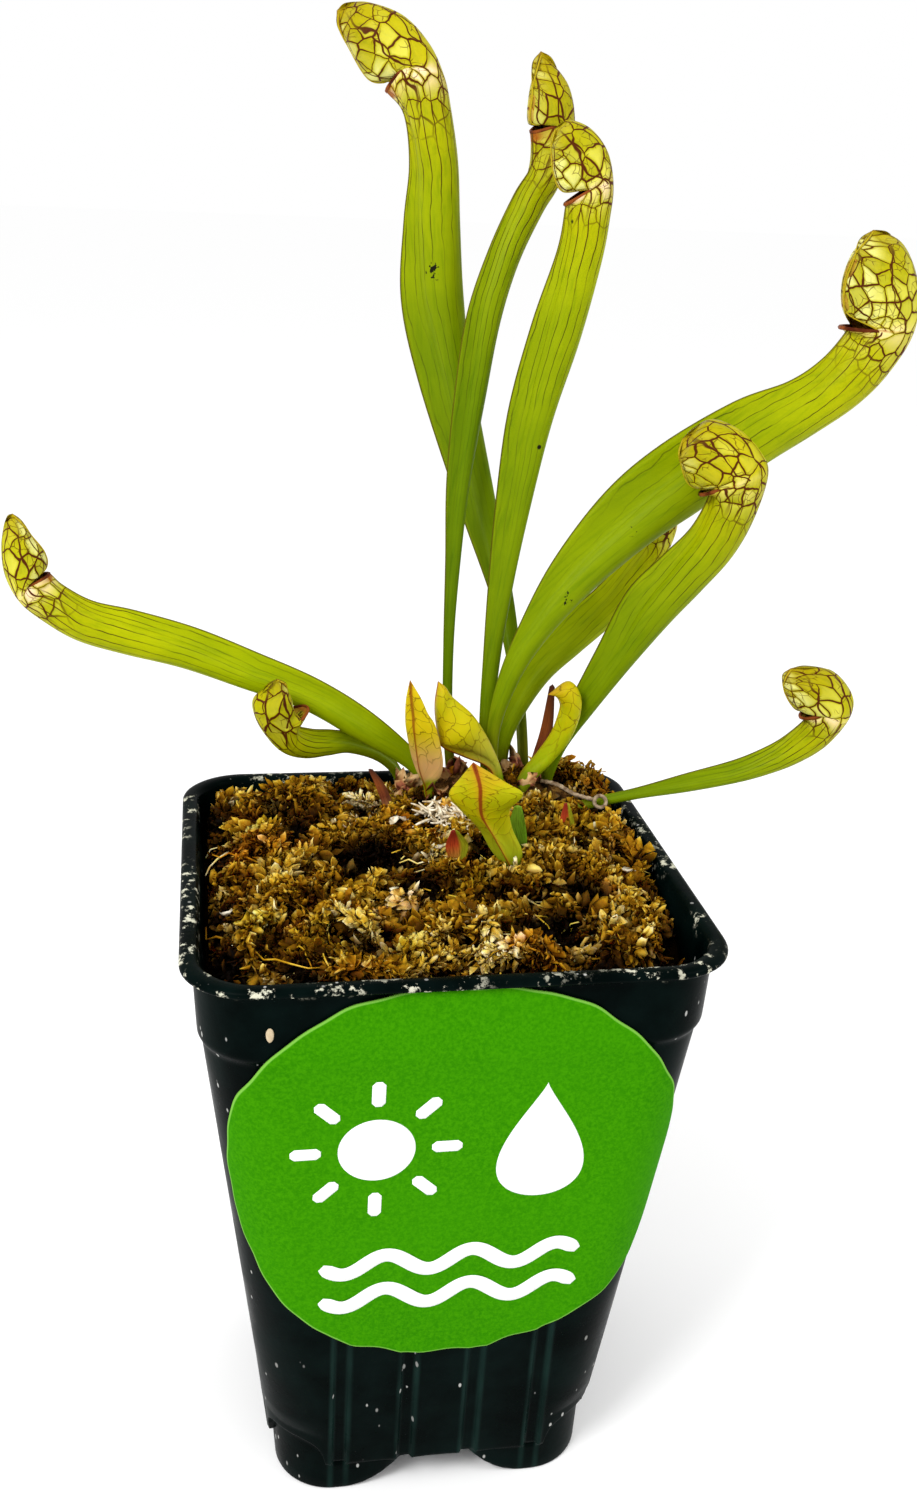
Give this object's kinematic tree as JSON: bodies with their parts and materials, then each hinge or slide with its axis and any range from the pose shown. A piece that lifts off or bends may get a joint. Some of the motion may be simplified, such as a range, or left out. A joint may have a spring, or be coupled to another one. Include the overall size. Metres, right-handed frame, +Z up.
{
  "type": "potted carnivorous pitcher plant",
  "caption": "Hooded pitcher plant with slender green winged traps, growing in moss in a deep square black nursery pot with a round label.",
  "frame": {"origin": "middle of the pot's base, on the surface that the pot stands on", "axes": "+Z up through the plant, -Y towards the viewer and the label, +X to the right"},
  "size_m": [0.1742, 0.1022, 0.2685],
  "materials": {
    "pot_plastic": "satin black, a little dusty",
    "label_paper": "satin printed green",
    "moss": "dry long-fibre moss, matte",
    "rhizome_bark": "rough brown",
    "pitcher_leaf": "living leaf, satin, veined red",
    "young_leaf": "living leaf, satin, yellow with red keel",
    "bud_leaf": "young leaf, red and yellow",
    "dead_leaf": "papery, matte",
    "twig_wood": "dry, matte"
  },
  "bodies": {
    "root": {"pot": "pot_plastic", "label": "label_paper", "growing_medium": "moss", "rhizome": "rhizome_bark", "pitcher_1_tall_left": "pitcher_leaf", "pitcher_2_tall_middle": "pitcher_leaf", "pitcher_3_tall_right": "pitcher_leaf", "pitcher_4_big_right": "pitcher_leaf", "pitcher_5_right_front": "pitcher_leaf", "pitcher_6_back_right": "pitcher_leaf", "pitcher_7_low_right": "pitcher_leaf", "pitcher_8_long_left": "pitcher_leaf", "pitcher_9_small_left": "pitcher_leaf", "young_pitcher_left": "young_leaf", "young_pitcher_middle": "young_leaf", "young_pitcher_front": "young_leaf", "young_pitcher_hooked": "young_leaf", "new_leaf": "young_leaf", "bud_right": "bud_leaf", "bud_front": "bud_leaf", "dead_leaf_right": "dead_leaf", "dead_leaf_left": "dead_leaf", "dry_twig": "twig_wood"}
  },
  "joints": []
}
